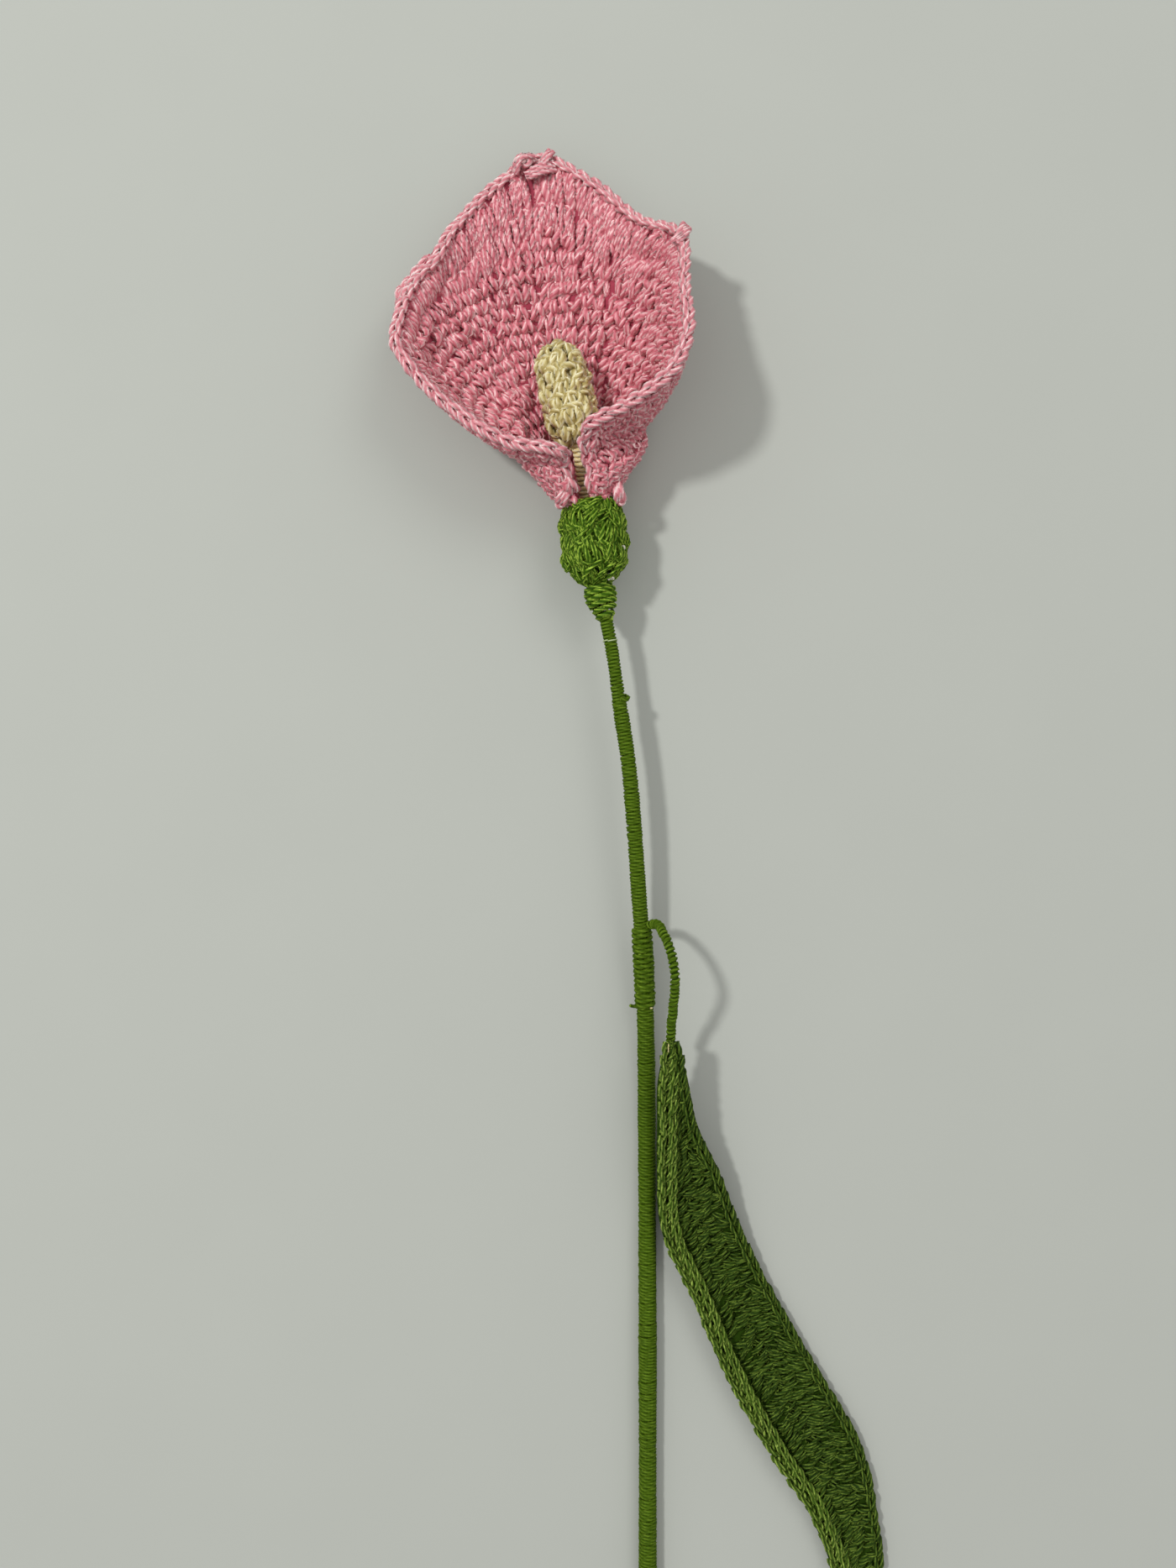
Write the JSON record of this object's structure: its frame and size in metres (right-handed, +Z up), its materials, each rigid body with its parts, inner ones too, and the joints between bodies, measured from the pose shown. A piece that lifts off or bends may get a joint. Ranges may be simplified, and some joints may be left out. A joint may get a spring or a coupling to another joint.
{
  "type": "crocheted calla lily",
  "caption": "Crocheted calla lily: a pink funnel bloom with a cream spadix and green cup on a yarn-wrapped wire stem, with a long crocheted leaf on a thin wrapped wire.",
  "frame": {"origin": "on the table, under the centre of the flower's box", "axes": "+Y along the stem towards the tip of the bloom, +X across towards the leaf's side, +Z up from the table"},
  "size_m": [0.102, 0.3376, 0.0281],
  "materials": {
    "pink_cotton": "mercerised cotton crochet",
    "cream_cotton": "mercerised cotton crochet",
    "green_cotton": "wound and crocheted cotton yarn",
    "leaf_cotton": "dark cotton crochet",
    "white_stuffing": "matted fibre filling",
    "steel_wire": "drawn wire",
    "brass_wire": "drawn wire"
  },
  "bodies": {
    "root": {"stem_wire": "steel_wire", "stem_wrap_top": "green_cotton", "stem_wrap_middle": "green_cotton", "leaf_joint_binding": "green_cotton", "stem_wrap_lower": "green_cotton", "neck_binding": "green_cotton", "calyx_cup": "green_cotton", "calyx_stuffing": "white_stuffing", "spathe": "pink_cotton", "spadix": "cream_cotton", "spadix_stalk_wrap": "cream_cotton", "leaf_wire": "brass_wire", "leaf_stalk_wrap": "green_cotton", "leaf": "leaf_cotton", "yarn_knot": "green_cotton", "yarn_end": "green_cotton"}
  },
  "joints": []
}
